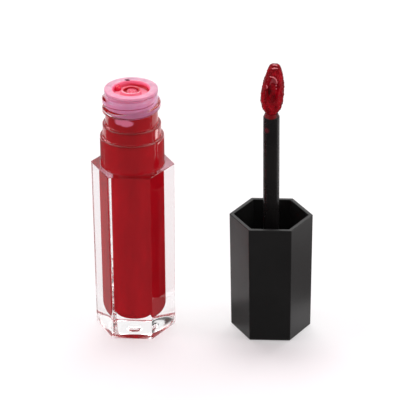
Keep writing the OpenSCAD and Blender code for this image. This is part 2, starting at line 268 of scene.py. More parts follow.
# ---------------------------------------------------------------- materials
def rgb(hexa):
    """sRGB hex to the linear colour that nodes want."""
    c = [int(hexa[i:i + 2], 16) / 255 for i in (0, 2, 4)]
    return tuple(v / 12.92 if v <= 0.04045 else ((v + 0.055) / 1.055) ** 2.4 for v in c) + (1.0,)


class Graph:
    """Short calls that build one node tree: they take sockets or plain values and give sockets."""

    def __init__(self, tree):
        self.nodes, self.links = tree.nodes, tree.links

    def feed(self, socket, value):
        if isinstance(value, bpy.types.NodeSocket):
            self.links.new(value, socket)
        else:
            socket.default_value = value

    def node(self, kind, inputs=(), **settings):
        made = self.nodes.new("ShaderNode" + kind)
        for key, value in settings.items():
            setattr(made, key, value)
        for key, value in dict(inputs).items():
            self.feed(made.inputs[key], value)
        return made

    def math(self, operation, *values):
        return self.node("Math", enumerate(values), operation=operation).outputs["Value"]

    def vector(self, operation, *values):
        made = self.node("VectorMath", enumerate(values), operation=operation)
        return made.outputs["Value" if operation in ("LENGTH", "DISTANCE") else "Vector"]

    def both(self, *masks):
        """1 where all the masks are 1."""
        total = masks[0]
        for mask in masks[1:]:
            total = self.math("MULTIPLY", total, mask)
        return total

    def span(self, source, low, high, out_low=0.0, out_high=1.0, kind="LINEAR"):
        """Goes from one value to another as the source goes from low to high."""
        return self.node("MapRange", {"Value": source, "From Min": low, "From Max": high, "To Min": out_low,
                                      "To Max": out_high}, interpolation_type=kind).outputs["Result"]

    def step(self, source, low, high, out_low=0.0, out_high=1.0):
        """The same with soft ends."""
        return self.span(source, low, high, out_low, out_high, "SMOOTHSTEP")

    def here(self):
        """The point of the surface in the object's own frame, in metres."""
        return self.node("TexCoord").outputs["Object"]

    def spot(self):
        """The same point in mm, with its x, y and z and its distance from the Z axis."""
        point = self.vector("DIVIDE", self.here(), (MM, MM, MM))
        x, y, z = self.node("SeparateXYZ", {"Vector": point}).outputs
        radius = self.vector("LENGTH", self.vector("MULTIPLY", point, (1, 1, 0)))
        return SimpleNamespace(point=point, x=x, y=y, z=z, radius=radius)

    def noise(self, scale, detail=3.0, rough=0.55, stretch=(1, 1, 1)):
        """Noise fixed to the object; the scale is per metre."""
        along = self.node("Mapping", {"Vector": self.here(), "Scale": stretch}).outputs["Vector"]
        return self.node("TexNoise", {"Vector": along, "Scale": scale, "Detail": detail,
                                      "Roughness": rough}).outputs["Fac"]

    def ramp(self, source, *stops):
        """Colours along the source; a stop is a position and a colour."""
        made = self.node("ValToRGB", {"Fac": source})
        elements = made.color_ramp.elements
        for element, (position, colour) in ((elements[0], stops[0]), (elements[1], stops[-1])):
            element.position = position
            element.color = colour
        for position, colour in stops[1:-1]:
            elements.new(position).color = colour
        return made.outputs["Color"]

    def paint(self, under, mask, colour):
        """Lays a colour over another where the mask is 1."""
        return self.node("Mix", {"Factor": mask, 6: under, 7: colour}, data_type="RGBA").outputs[2]

    def mix(self, factor, first, second):
        return self.node("MixShader", {"Fac": factor, 1: first, 2: second}).outputs["Shader"]

    def looked_at(self):
        """1 for the rays that show a thing: the camera's, through clear walls and from mirrors."""
        path = self.node("LightPath").outputs
        direct = self.math("MAXIMUM", path["Is Camera Ray"], path["Is Transmission Ray"])
        return self.math("MAXIMUM", direct, path["Is Glossy Ray"])


class Look(Graph):
    """A material with one Principled shader."""

    def __init__(self, name, **values):
        self.material = bpy.data.materials.new(name)
        self.material.use_nodes = True
        super().__init__(self.material.node_tree)
        self.shader = self.nodes["Principled BSDF"]
        self.set(**values)

    def set(self, **values):
        """Feeds the shader's inputs; an underscore stands for a space."""
        for key, value in values.items():
            self.feed(self.shader.inputs[key.replace("_", " ")], value)

    def bump(self, height, strength, distance):
        made = self.node("Bump", {"Strength": strength, "Distance": distance, "Height": height})
        self.set(Normal=made.outputs["Normal"])

    def show(self, surface):
        self.feed(self.nodes["Material Output"].inputs["Surface"], surface)


WALL_TINT = (0.985, 0.975, 0.98, 1)
SHADOW_TINT = (0.93, 0.9, 0.91, 1)


def clear_plastic():
    """Clear wall with painted reflections of the gloss's red on its shoulder, thread and edges."""
    look = Look("clear_plastic", IOR=1.55, Transmission_Weight=1.0)
    at = look.spot()
    z, radius = at.z, at.radius
    # painted reflection: a mauve cast on the shoulder for the gloss below it
    shoulder = look.both(look.step(z, BODY_H - 0.25, BODY_H - 0.1), look.step(z, BODY_H + 0.4, BODY_H + 0.1),
                         look.step(radius, COLLAR_R - 0.1, COLLAR_R + 0.1))
    colour = look.paint(WALL_TINT, shoulder, rgb("b26a7c"))
    # painted reflection: the gloss's red along the lower side of the thread
    start = look.math("SUBTRACT", z, THREAD_LEFT_Z - THREAD_PITCH / 2)
    bearing = look.math("DIVIDE", look.math("ARCTAN2", at.y, at.x), 2 * pi)
    turns = look.math("SUBTRACT", look.math("DIVIDE", start, THREAD_PITCH), bearing)
    part_turn = look.math("FRACT", turns)
    thread = look.both(look.step(part_turn, 0.70, 0.77), look.step(part_turn, 0.91, 0.83),
                       look.step(radius, NECK_R + 0.03, NECK_R + 0.15),
                       look.step(z, STEP_Z + 0.4, STEP_Z + 1.2))
    colour = look.paint(colour, thread, rgb("b01838"))
    # painted reflection: the gloss's red along the collar's and the step's top edges
    for edge_z, edge_r in ((COLLAR_Z, COLLAR_R), (STEP_Z, STEP_R)):
        edge = look.both(look.step(z, edge_z - 0.5, edge_z - 0.35), look.step(z, edge_z + 0.08, edge_z),
                         look.step(radius, edge_r - 0.65, edge_r - 0.5))
        colour = look.paint(colour, edge, rgb("b01c2c"))
    # the foot is worn: duller close to the floor
    polish = look.span(look.noise(900, 2), 0.3, 0.7, 0.004, 0.03)
    foot = look.step(z, 0.6, 0.1, 0.0, 0.2)
    look.set(Base_Color=colour, Roughness=look.math("ADD", polish, foot))
    look.bump(look.noise(60, 1, stretch=(1, 1, 0.25)), 0.03, 0.0004)
    # light reaches the floor and the gloss through the clear wall
    clear = look.node("BsdfTransparent", {"Color": SHADOW_TINT}).outputs["BSDF"]
    shadow = look.node("LightPath").outputs["Is Shadow Ray"]
    look.show(look.mix(shadow, look.shader.outputs["BSDF"], clear))
    return look.material


def red_gloss(name, base, deep, specular, left=None, bubble=None):
    """Red gloss; a darker red left of a place in x, painted shade, or paler round a bubble (its middle and
    half sizes), in mm.
    """
    look = Look(name, Roughness=0.16, IOR=1.47, Specular_IOR_Level=specular)
    at = look.spot()
    streaks = look.noise(160, stretch=(1, 1, 0.3))
    colour = look.ramp(streaks, (0.3, rgb(deep)), (0.7, rgb(base)))
    if left is not None:
        # painted shade: darker red left of the given x
        colour = look.paint(colour, look.step(at.x, left + 0.2, left - 0.2), rgb("b8061e"))
    if bubble is not None:
        centre, half = bubble
        away = look.vector("LENGTH", look.vector("DIVIDE", look.vector("SUBTRACT", at.point, centre), half))
        ragged = look.math("MULTIPLY_ADD", look.noise(420, 2), 1.5, away)
        colour = look.paint(colour, look.step(ragged, 1.8, 1.35, 0.0, 0.85), rgb("f68cae"))
    look.set(Base_Color=colour)
    look.bump(look.noise(700, 2), 0.08, 0.0002)
    return look.material


def pink_wiper():
    """Soft pink moulding, stained by gloss inside the mouth; painted light makes its sleeve and the inside of
    its mouth a brighter, redder pink, and painted shade deepens its front and the gap under its flange.
    """
    look = Look("pink_wiper", Roughness=0.32, IOR=1.5, Subsurface_Weight=0.6,
                Subsurface_Radius=(1.0, 0.4, 0.45), Subsurface_Scale=0.001)
    at, step, both = look.spot(), look.step, look.both
    x, y, z, radius = at.x, at.y, at.z, at.radius
    mottle = look.noise(420)
    high = look.math("ADD", z, look.math("MULTIPLY_ADD", mottle, 0.6, -0.3))
    inside = step(radius, MOUTH_R + 0.52, MOUTH_R + 0.02)
    layers = {
        # painted shade: a deeper pink towards the front
        "front": (step(y, 2.0, -6.0, 0.0, 0.7), "df89ab"),
        # painted light: a brighter pink down the sleeve, behind the clear neck
        "sleeve": (both(step(radius, SLEEVE_R - 0.33, SLEEVE_R - 0.13),
                        step(high, NECK_Z + 0.2, NECK_Z - 0.2)), "ffa4d0"),
        # painted light: a bright red-pink inside the mouth, for the red light that scatters there
        "mouth": (inside, "ff7ea0"),
        # painted shade in the gap under the flange
        "flange foot": (both(step(radius, FLANGE_R - 0.35, FLANGE_R - 0.15),
                             step(z, NECK_Z + 0.22, NECK_Z + 0.08)), "a85878"),
        "web": (both(step(radius, MOUTH_R - 0.13, MOUTH_R - 0.38), step(radius, HOLE_R - 0.1, HOLE_R + 0.2)),
                "f08ca4"),
        "back of the tube": (both(step(radius, TUBE_R + 0.2, TUBE_R - 0.05),
                                  step(high, TUBE_TOP - 0.7, TUBE_TOP - 0.2), step(y, -1.4, 0.4)), "d84a68"),
        "right of the tube": (both(step(radius, TUBE_R - 0.15, TUBE_R - 0.35), step(x, 0.9, 1.4)), "b00822"),
        "back of the mouth": (both(step(radius, MOUTH_R - 0.48, MOUTH_R - 0.18), inside,
                                   step(x, -3.5, 1.5, 0.45, 1.0), step(high, NECK_Z + 0.2, NECK_Z - 0.3),
                                   step(y, -1.2, 0.8)), "cc0628"),
        "hole": (step(radius, HOLE_R + 0.25, HOLE_R + 0.08), "c00a26"),
    }
    colour = look.ramp(mottle, (0.3, rgb("ba7c96")), (0.5, rgb("cf94ab")), (0.72, rgb("deb2c2")))
    for mask, tone in layers.values():
        colour = look.paint(colour, mask, rgb(tone))
    look.set(Base_Color=colour)
    look.bump(mottle, 0.12, 0.0002)
    return look.material


def black_plastic(name, base, rough, grain, relief, specular=0.5, stains=lambda look, colour: colour):
    """Black moulding: rough is the range of its roughness, stains lays gloss over its colour."""
    look = Look(name, IOR=1.49, Specular_IOR_Level=specular)
    patches = look.noise(120, 2)
    dark = rgb(base)
    light = tuple(v * 1.25 for v in dark[:3]) + (1.0,)
    colour = look.ramp(patches, (0.35, dark), (0.7, light))
    look.set(Roughness=look.span(patches, 0.3, 0.7, *rough), Base_Color=stains(look, colour))
    look.bump(look.noise(grain), relief, 0.00006)
    return look.material


def stem_stains(look, colour):
    """Gloss run over the stem's end, thin at its sides, and a faint smear below it."""
    at = look.spot()
    run = look.math("MULTIPLY_ADD", look.noise(500, 2, stretch=(1, 1, 0.2)), 0.7, at.z)
    off_axis = look.math("ABSOLUTE", look.math("SUBTRACT", at.x, CAP_AXIS[0] - 0.2))
    film = look.both(look.step(run, STEM_TOP - 0.7, STEM_TOP - 0.4), look.step(off_axis, 1.8, 1.2, 0.25, 1.0))
    colour = look.paint(colour, film, rgb("70040e"))
    smear = look.step(look.vector("DISTANCE", at.point, smear_at), 1.0, 0.3, 0.0, 0.75)
    return look.paint(colour, smear, rgb("5a141e"))


def speckled(name, roughness, ior, scale, detail, dark, light, relief=0.0):
    """Plain moulding in two close tones."""
    look = Look(name, Roughness=roughness, IOR=ior)
    grain = look.noise(scale, detail)
    look.set(Base_Color=look.ramp(grain, (0.3, rgb(dark)), (0.7, rgb(light))))
    if relief:
        look.bump(grain, relief, 0.00008)
    return look.material


SHADE_SQUEEZE = (1.3, 0.7, 0.45)    # how much shorter than round the tip's dark place is along x, y and z


def wet_flock(dark_at):
    """Flock soaked with gloss, with a darker place in its dimple and painted shade where it is seen edge-on;
    dark_at in mm.
    """
    look = Look("wet_flock", Roughness=0.3, IOR=1.47, Specular_IOR_Level=0.1)
    fibres = look.noise(2600, 3, 0.7)
    tufts = look.noise(900, 3, 0.6, (1, 1, 0.45))
    colour = look.ramp(tufts, (0.28, rgb("5e0006")), (0.5, rgb("86000e")), (0.72, rgb("b0061a")))
    # painted shade: darker where the flock is seen edge-on
    facing = look.node("LayerWeight", {"Blend": 0.5}).outputs["Facing"]
    colour = look.paint(colour, look.step(facing, 0.45, 0.95, 0.0, 0.85), rgb("4a0018"))
    # brown shade at the left of the dimple
    apart = look.vector("MULTIPLY", look.vector("SUBTRACT", look.spot().point, dark_at), SHADE_SQUEEZE)
    shade = look.step(look.vector("LENGTH", apart), 0.6, 0.2, 0.0, 0.8)
    look.set(Base_Color=look.paint(colour, shade, rgb("300a04")))
    look.bump(look.math("MULTIPLY_ADD", fibres, 0.35, tufts), 0.55, 0.00025)
    return look.material


CLEAR = clear_plastic()
GLOSS = red_gloss("red_gloss", "bc111e", "a60c19", 0.0, bubble=((-1.2, -5.0, 59.8), (2.7, 3.0, 1.1)))
SMEAR = red_gloss("gloss_smear", "600a24", "48061a", 0.05)
# the drop on the wiper: the gloss's red, painted brighter as light for the dim mouth
BEAD_PAINTED_LIGHT = red_gloss("gloss_bead_painted_light", "f01a48", "d8123a", 0.35)
# the gloss in the hole: painted pale pink as a highlight, and darker at its left as painted shade
MENISCUS_PAINTED_HIGHLIGHT_AND_SHADE = red_gloss("gloss_meniscus_painted_highlight_and_shade", "f4718c", "d02c50", 0.5, left=-0.9)
# pale red of the wet ridges on the tip: painted highlight
WET_RIM_PAINTED_HIGHLIGHT = red_gloss("gloss_wet_rim_painted_highlight", "e07880", "cc505c", 0.9)
WIPER = pink_wiper()
CAP_BLACK = black_plastic("cap_black", "161515", (0.30, 0.38), 1300, 0.10, 0.28)
LINER = black_plastic("liner_black", "0a0a0a", (0.45, 0.55), 900, 0.15)
smear_at = place(POINTS["stem_smear"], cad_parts["wand_stem"])
STEM = black_plastic("stem_black", "151313", (0.22, 0.32), 1400, 0.08, 0.2, stem_stains)
SEAL = speckled("soft_seal", 0.6, 1.45, 800, 3, "cfcac6", "e2deda", relief=0.3)
CORE = speckled("core_plastic", 0.4, 1.46, 500, 2, "8c1a26", "a8303a")


def finish_piece(obj, mat, body, node_name=None):
    """Gives a piece its material and body, and hides the CAD node it stands for."""
    obj.data.materials.append(mat)
    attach(obj, body)
    if node_name:
        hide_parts(node_name)
    return obj


# ---------------------------------------------------------------- bottle
DISH_R, DISH_H, DISH_POWER = 7.95, 0.45, 8     # shallow dish in the base: radius, depth, how flat its roof is
GATE_R, GATE_H, GATE_EDGE = 1.85, 0.6, 0.3      # well of the moulding gate in the middle of the dish
THREAD_ROW = 0.08       # height between the rings that carry the thread


def dish(r):
    """Height of the dish's roof at a distance from the axis."""
    return DISH_H * (1 - (r / DISH_R) ** DISH_POWER)


def base_rings():
    """From the middle of the gate's well out to the foot, then up round the base's edge."""
    roof = DISH_H + GATE_H
    rings = [[(0, 0, roof)], round_ring(0.6, roof)]
    for t in (0.0, 0.4, 0.8, 1.2, pi / 2):
        rings.append(round_ring(GATE_R - GATE_EDGE * (1 - sin(t)), roof - GATE_EDGE * (1 - cos(t))))
    rings += [round_ring(GATE_R + 0.02, dish(GATE_R) + 0.05), round_ring(GATE_R + 0.1, dish(GATE_R))]
    rings += [round_ring(r, dish(r)) for r in (2.3, 2.8, 3.4, 4.0, 4.6, 5.2, 5.8, 6.3, 6.8, 7.2, 7.5, 7.75)]
    rings += [round_ring(DISH_R, 0.0), round_ring(DISH_R + 0.08, 0.0)]
    rings.append(hex_ring(BODY_BASE - 2 * (BASE_EDGE + 0.01), BODY_CORNER, 0.0))
    for k in range(7):
        a = math.radians(15 * k)
        inset = BASE_EDGE * (1 - sin(a))
        rings.append(hex_ring(BODY_BASE - 2 * inset, BODY_CORNER, BASE_EDGE * (1 - cos(a))))
    rings.append(hex_ring(BODY_BASE, BODY_CORNER, BASE_EDGE + 0.12))
    return rings


def body_rings():
    """Up the six sides and over the shoulder's edge."""
    flats = lambda z: BODY_BASE + (BODY_TOP - BODY_BASE) * z / BODY_H
    top = BODY_H - SHOULDER_EDGE
    rings = [hex_ring(flats(z), BODY_CORNER, z) for z in (4, 10, 18, 26, 34, 42, top - 0.15, top)]
    for x, z in fillet(0, top, SHOULDER_EDGE, 0, 90, 3)[1:]:
        rings.append(hex_ring(flats(z) - 2 * (SHOULDER_EDGE - x), BODY_CORNER, z))
    rings.append(hex_ring(BODY_TOP - 2 * SHOULDER_EDGE - 0.3, BODY_CORNER, BODY_H))
    return rings


def bottle_rings():
    rings = base_rings() + body_rings() + [round_ring(COLLAR_R + 0.25, BODY_H)]
    profile = [(COLLAR_R + 0.12, BODY_H)]
    profile += fillet(COLLAR_R + COLLAR_FOOT, BODY_H + COLLAR_FOOT, COLLAR_FOOT, 250, 180, 3)
    profile += [(COLLAR_R, BODY_H + 0.3), (COLLAR_R, COLLAR_Z - COLLAR_EDGE - 0.18)]
    profile += fillet(COLLAR_R - COLLAR_EDGE, COLLAR_Z - COLLAR_EDGE, COLLAR_EDGE, 0, 90, 6)
    profile += [(COLLAR_R - 0.5, COLLAR_Z)]
    profile += fillet(STEP_R + STEP_FOOT, COLLAR_Z + STEP_FOOT, STEP_FOOT, 265, 180, 3)
    profile += [(STEP_R, COLLAR_Z + 0.35), (STEP_R, STEP_Z - STEP_EDGE - 0.15)]
    profile += fillet(STEP_R - STEP_EDGE, STEP_Z - STEP_EDGE, STEP_EDGE, 0, 90, 6)
    profile += fillet(NECK_R + NECK_FOOT, STEP_Z + NECK_FOOT, NECK_FOOT, 265, 180, 3)
    rings += [round_ring(r, z) for r, z in profile]
    z = STEP_Z + NECK_FOOT + 0.1
    while z < NECK_Z - NECK_EDGE - 0.1:
        rings.append(ring_at(z, lambda a: NECK_R + thread_height(a, z)))
        z += THREAD_ROW
    profile = fillet(NECK_R - NECK_EDGE, NECK_Z - NECK_EDGE, NECK_EDGE, 0, 90, 4)
    profile += [(CAVITY_R + 0.25, NECK_Z)]
    profile += fillet(CAVITY_R + BORE_EDGE, NECK_Z - BORE_EDGE, BORE_EDGE, 95, 180, 3)
    floor_edge = FLOOR_T + CAVITY_CORNER
    profile += [(CAVITY_R, z) for z in (NECK_Z - 0.3, 60, 50, 40, 30, 20, 10, floor_edge + 0.1)]
    profile += fillet(CAVITY_R - CAVITY_CORNER, floor_edge, CAVITY_CORNER, 0, -90, 10)
    return rings + [round_ring(r, z) for r, z in profile] + [[(0, 0, FLOOR_T)]]


bottle = loft("bottle_clear", bottle_rings())
finish_piece(bottle, CLEAR, "bottle_body", "bottle")

# ---------------------------------------------------------------- gloss in the bottle
WET = 0.03          # the liquid wets the wall: its surface lies just inside the clear wall
TUBE_ROOM = 0.1     # between the gloss and the wiper's tube
fill = [(0, FLOOR_T - WET)]
fill += fillet(CAVITY_R - CAVITY_CORNER, FLOOR_T + CAVITY_CORNER, CAVITY_CORNER + WET, -90, 0, 12)
fill += [(CAVITY_R + WET, z) for z in (12, 24, 36, 48, FILL_Z)]
well_r, well_z = TUBE_R + TUBE_ROOM, TUBE_TAIL - TUBE_ROOM
fill += [(well_r, FILL_Z), (well_r, well_z), (0, well_z)]
gloss = lathe("gloss_liquid", fill)
finish_piece(gloss, GLOSS, "bottle_body", "gloss_fill")

# ---------------------------------------------------------------- wiper insert
wiper_profile = [(HOLE_R, TUBE_TAIL), (HOLE_R, 60), (HOLE_R, 63), (HOLE_R, TUBE_TOP - TUBE_EDGE - 0.02)]
wiper_profile += fillet(HOLE_R + TUBE_EDGE, TUBE_TOP - TUBE_EDGE, TUBE_EDGE, 180, 90, 4)
wiper_profile += fillet(TUBE_R - TUBE_EDGE, TUBE_TOP - TUBE_EDGE, TUBE_EDGE, 90, 0, 4)
wiper_profile += [(TUBE_R, WEB_Z + WEB_FILLET)]
wiper_profile += fillet(TUBE_R + WEB_FILLET, WEB_Z + WEB_FILLET, WEB_FILLET, 180, 270, 4)
wiper_profile += fillet(MOUTH_R - WEB_FILLET, WEB_Z + WEB_FILLET, WEB_FILLET, 270, 360, 4)
wiper_profile += [(MOUTH_R, LIP_Z - MOUTH_EDGE - 0.1)]
wiper_profile += fillet(MOUTH_R + MOUTH_EDGE, LIP_Z - MOUTH_EDGE - 0.05, MOUTH_EDGE, 180, 95, 6)
wiper_profile += [(MOUTH_R + 0.9, LIP_Z), (FLANGE_R - 0.5, LIP_Z)]
wiper_profile += fillet(FLANGE_R - FLANGE_EDGE, LIP_Z - FLANGE_EDGE, FLANGE_EDGE, 90, 0, 5)
wiper_profile += [(FLANGE_R, NECK_Z + 0.12)]
wiper_profile += fillet(FLANGE_R - FLANGE_FOOT, NECK_Z + FLANGE_FOOT + 0.01, FLANGE_FOOT, 0, -90, 2)
wiper_profile += [(SLEEVE_R, NECK_Z + 0.01), (SLEEVE_R, 64), (SLEEVE_R, SLEEVE_Z), (MOUTH_R, SLEEVE_Z)]
wiper_profile += [(MOUTH_R, WEB_Z - WEB_T), (TUBE_R, WEB_Z - WEB_T), (TUBE_R, TUBE_TAIL)]
wiper = lathe("wiper_pink", wiper_profile, loop=True)
finish_piece(wiper, WIPER, "bottle_body", "wiper_insert")


# ---------------------------------------------------------------- gloss left on the wiper
BLOB_LUMPS, BLOB_GRAIN = 0.18, 1.6      # depth of a drop's lumps over its size, and how close they lie


def blob(name, centre, size, seed, detail=24):
    """Lumpy drop: centre and half sizes in mm."""
    rings = []
    for i in range(detail + 1):
        t = pi * i / detail
        if i in (0, detail):
            rings.append([(centre[0], centre[1], centre[2] - size[2] * cos(t))])
            continue
        ring = []
        for k in range(2 * detail):
            a = 2 * pi * k / (2 * detail)
            d = Vector((sin(t) * cos(a), sin(t) * sin(a), -cos(t)))
            n = 1 + BLOB_LUMPS * noise.noise(d * BLOB_GRAIN + Vector((seed, 0, 0)))
            ring.append(tuple(centre[j] + size[j] * d[j] * n for j in range(3)))
        rings.append(ring)
    return loft(name, rings)


drop = blob("gloss_drop", place(POINTS["gloss_drop"], wiper), (1.1, 1.15, 0.95), 3.0)
finish_piece(drop, BEAD_PAINTED_LIGHT, "bottle_body")


def meniscus_height(x, y):
    """How high the gloss in the wiper's hole stands at a place, above its rest level."""
    broad = noise.noise(Vector((x * 1.1 + 3.0, y * 0.9, 2.0))) * 0.5
    fine = noise.noise(Vector((x * 2.6, y * 2.2, 5.0))) * 0.22
    inner = 1 - (math.hypot(x, y) / HOLE_R) ** 3
    return (broad + fine) * inner - 0.25 * smoothstep(abs(x) - 0.7)


def meniscus_rings():
    """Lumpy top of the gloss that stands in the wiper's hole, closed below."""
    edge_r, rest_z, foot_z = HOLE_R - 0.02, TUBE_TOP - 0.45, TUBE_TOP - 2.2
    rings = [[(0, 0, foot_z)], round_ring(edge_r, foot_z)]
    for i in range(13):
        level_ring = round_ring(edge_r * (1 - i / 12.5), rest_z)
        rings.append([(x, y, z + meniscus_height(x, y)) for x, y, z in level_ring])
    return rings + [[(0, 0, rings[-1][0][2])]]


bead = loft("gloss_in_hole", meniscus_rings())
finish_piece(bead, MENISCUS_PAINTED_HIGHLIGHT_AND_SHADE, "bottle_body")
speck = blob("gloss_speck", place(POINTS["gloss_speck"], wiper), (0.72, 0.3, 0.14), 8.0, 16)
finish_piece(speck, SMEAR, "bottle_body")


# ---------------------------------------------------------------- cap
def cap_ring(flats, corner, z):
    """A hexagon round the cap's own axis."""
    turn = math.radians(CAP_TURN)
    return [(CAP_AXIS[0] + x * cos(turn) - y * sin(turn), CAP_AXIS[1] + x * sin(turn) + y * cos(turn), z)
            for x, y, _ in hex_ring(flats, corner, z)]


def cap_rings():
    """From the middle of the closed end, up the outside, over the rim and down the inside."""
    flats = lambda z: CAP_END + (CAP_RIM - CAP_END) * z / CAP_H
    inner = lambda z: flats(z) - 2 * CAP_WALL
    edge, rim, rim_z = CAP_END_EDGE, CAP_RIM_EDGE, CAP_H - CAP_RIM_EDGE
    rings = [[(*CAP_AXIS, 0)]]
    rings += [cap_ring(width, CAP_END_CORNER, 0) for width in (8, CAP_END - 2 * edge - 0.3)]
    for k in range(6):
        a = math.radians(k * 18)
        inset = edge * (1 - sin(a))
        rings.append(cap_ring(CAP_END - 2 * inset, CAP_CORNER - 0.3 * inset, edge * (1 - cos(a))))
    for z in (edge + 0.15, 8, 16, 24, rim_z - 0.2, rim_z):
        rings.append(cap_ring(flats(z), CAP_CORNER, z))
    for x, z in fillet(0, rim_z, rim, 0, 90, 4)[1:]:
        rings.append(cap_ring(flats(z) - 2 * (rim - x), CAP_CORNER, z))
    for x, z in fillet(0, rim_z, rim, 90, 0, 4)[:-1]:
        rings.append(cap_ring(inner(CAP_H) + 2 * (rim - x), CAP_INNER_CORNER, z))
    for z in (rim_z, rim_z - 0.2, 24, 16, 8, CAP_END_T + 0.3):
        rings.append(cap_ring(inner(z), CAP_INNER_CORNER, z))
    return rings + [cap_ring(inner(CAP_END_T) - 0.4, CAP_INNER_CORNER, CAP_END_T), [(*CAP_AXIS, CAP_END_T)]]


cap = loft("cap_black", cap_rings())
finish_piece(cap, CAP_BLACK, "cap_and_wand", "cap")

# ---------------------------------------------------------------- applicator tip
# along the tip from the stem, in mm: (distance, half width, half thickness), and (distance, shift right)
TIP_OUTLINE = [(0.0, 1.55, 1.5), (0.3, 1.75, 1.6), (0.7, 2.1, 1.7), (1.2, 2.32, 1.82), (1.8, 2.55, 1.95),
               (2.5, 2.7, 2.06), (3.3, 2.82, 2.14), (4.2, 2.88, 2.18), (5.2, 2.88, 2.2), (6.2, 2.8, 2.15),
               (7.2, 2.7, 2.08), (8.2, 2.59, 1.98), (9.2, 2.42, 1.86), (10.2, 2.18, 1.7), (11.2, 1.9, 1.52),
               (12.0, 1.66, 1.32), (12.6, 1.44, 1.12), (13.0, 1.15, 0.9), (13.2, 0.8, 0.6)]
TIP_BEND = [(0.0, -0.08), (1.0, -0.1), (3.2, -0.15), (5.5, -0.08), (8.0, 0.0), (13.2, 0.08)]
DIMPLE_AT, DIMPLE_HALF_L, DIMPLE_HALF_W, DIMPLE_DEPTH, DIMPLE_LIP = 6.75, 3.7, 1.4, 0.95, 0.16
DIMPLE_EDGE, DIMPLE_SLOPE, LIP_AT, LIP_WIDTH = 1.12, 0.5, 1.16, 0.16    # in the dimple's half sizes
TIP_START = STEM_TOP + 0.12     # height of the tip's first ring
TIP_FIRST, TIP_LAST, TIP_ROWS, TIP_STEPS = 0.25, 13.0, 110, 128
TIP_SQUARE = 0.92               # below 1, its section is squarer than an ellipse
FUZZ = ((2.4, 0.2), (4.6, 0.16))    # closeness and depth of the flock's tufts, coarse and fine
SWELL, SWELL_DEPTH, FUZZ_SINK, FUZZ_START = 0.8, 0.06, 0.04, 0.8
LEAN = math.radians(TIP_LEAN)


def along_tip(s, table, column):
    """A value of one of the tip's tables at distance s from the stem."""
    return float(np.interp(s, [row[0] for row in table], [row[column] for row in table]))


def squarer(v):
    """A cosine or sine drawn out a little towards its ends."""
    return math.copysign(abs(v) ** TIP_SQUARE, v)


def tip_point(s, a):
    """A point of the tip's surface before its lean, at distance s from the stem and angle a."""
    x = along_tip(s, TIP_OUTLINE, 1) * squarer(cos(a))
    y = along_tip(s, TIP_OUTLINE, 2) * squarer(sin(a))
    if y < 0:
        # dimple with a raised lip in the face towards -Y
        q = math.hypot((s - DIMPLE_AT) / DIMPLE_HALF_L, x / DIMPLE_HALF_W)
        y += DIMPLE_DEPTH * smoothstep((DIMPLE_EDGE - q) / DIMPLE_SLOPE)
        y -= DIMPLE_LIP * math.exp(-((q - LIP_AT) / LIP_WIDTH) ** 2)
    return Vector((x + along_tip(s, TIP_BEND, 1), y, s))


def tip_place(p):
    """A point of the tip leaned over and set on the stem."""
    return Vector((CAP_AXIS[0] + p.x * cos(LEAN) + p.z * sin(LEAN), CAP_AXIS[1] + p.y,
                   TIP_START - p.x * sin(LEAN) + p.z * cos(LEAN)))


def fuzz(p):
    """How far the flock stands out at a point, less and less near the stem."""
    height = noise.fractal(p * SWELL, 1.0, 2.0, 3) * SWELL_DEPTH - FUZZ_SINK
    height += sum(noise.noise(p * close) * depth for close, depth in FUZZ)
    return height * min(1.0, p.z / FUZZ_START)


def tip_rings():
    along = [TIP_FIRST + (TIP_LAST - TIP_FIRST) * i / TIP_ROWS for i in range(TIP_ROWS + 1)]
    along = [0.0, 0.12] + along + [13.12, 13.2]
    rings = []
    for s in along:
        ring = []
        for k in range(TIP_STEPS):
            p = tip_point(s, 2 * pi * k / TIP_STEPS)
            out = Vector((p.x, p.y * 1.2, 0)).normalized()
            ring.append(tuple(tip_place(p + out * fuzz(p))))
        rings.append(ring)
    top = tip_place(Vector((0, 0, TIP_L))) - Vector((0, 0, 0.07))
    return [[(*CAP_AXIS, TIP_START)]] + rings + [[tuple(top)]]


tip = loft("tip_flocked", tip_rings())
dark_at = place(POINTS["tip_shade"], tip)
finish_piece(tip, wet_flock(dark_at), "cap_and_wand", "tip_flock")


def tip_front(s, x):
    """The point of the tip's face at distance s from the stem and x from its middle line."""
    face = (tip_point(s, math.radians(180 + k)) for k in range(181))
    return tip_place(min(face, key=lambda p: abs(p.x - x)))


RIDGE_CUTS, RIDGE_STEPS = 6, 12     # a ridge's rings between two points of its path, and its points round


def wet_ridge(name, point, path, radius):
    """Thin thread of wet gloss on the tip's face, in mm up and across from its image point; its pale colour
    is a painted highlight.
    """
    at = place(point, tip) - Vector((*CAP_AXIS, TIP_START))
    up, across = at.x * sin(LEAN) + at.z * cos(LEAN), at.x * cos(LEAN) - at.z * sin(LEAN)
    path = [(up + s, across + x) for s, x in path]
    pts = []
    for (s0, x0), (s1, x1) in zip(path[:-1], path[1:]):
        for i in range(RIDGE_CUTS):
            t = i / RIDGE_CUTS
            pts.append(tip_front(s0 + (s1 - s0) * t, x0 + (x1 - x0) * t))
    pts.append(tip_front(*path[-1]))
    rings = [[tuple(pts[0])]]
    for i, p in enumerate(pts):
        ahead = (pts[min(i + 1, len(pts) - 1)] - pts[max(i - 1, 0)]).normalized()
        side = ahead.cross(Vector((0, -1, 0))).normalized()
        out = side.cross(ahead).normalized()
        r = radius * math.sqrt(sin(pi * (i + 0.5) / len(pts)))
        round_path = [2 * pi * k / RIDGE_STEPS for k in range(RIDGE_STEPS)]
        rings.append([tuple(p + (side * cos(a) + out * sin(a)) * r) for a in round_path])
    rings.append([tuple(pts[-1])])
    return finish_piece(loft(name, rings), WET_RIM_PAINTED_HIGHLIGHT, "cap_and_wand")


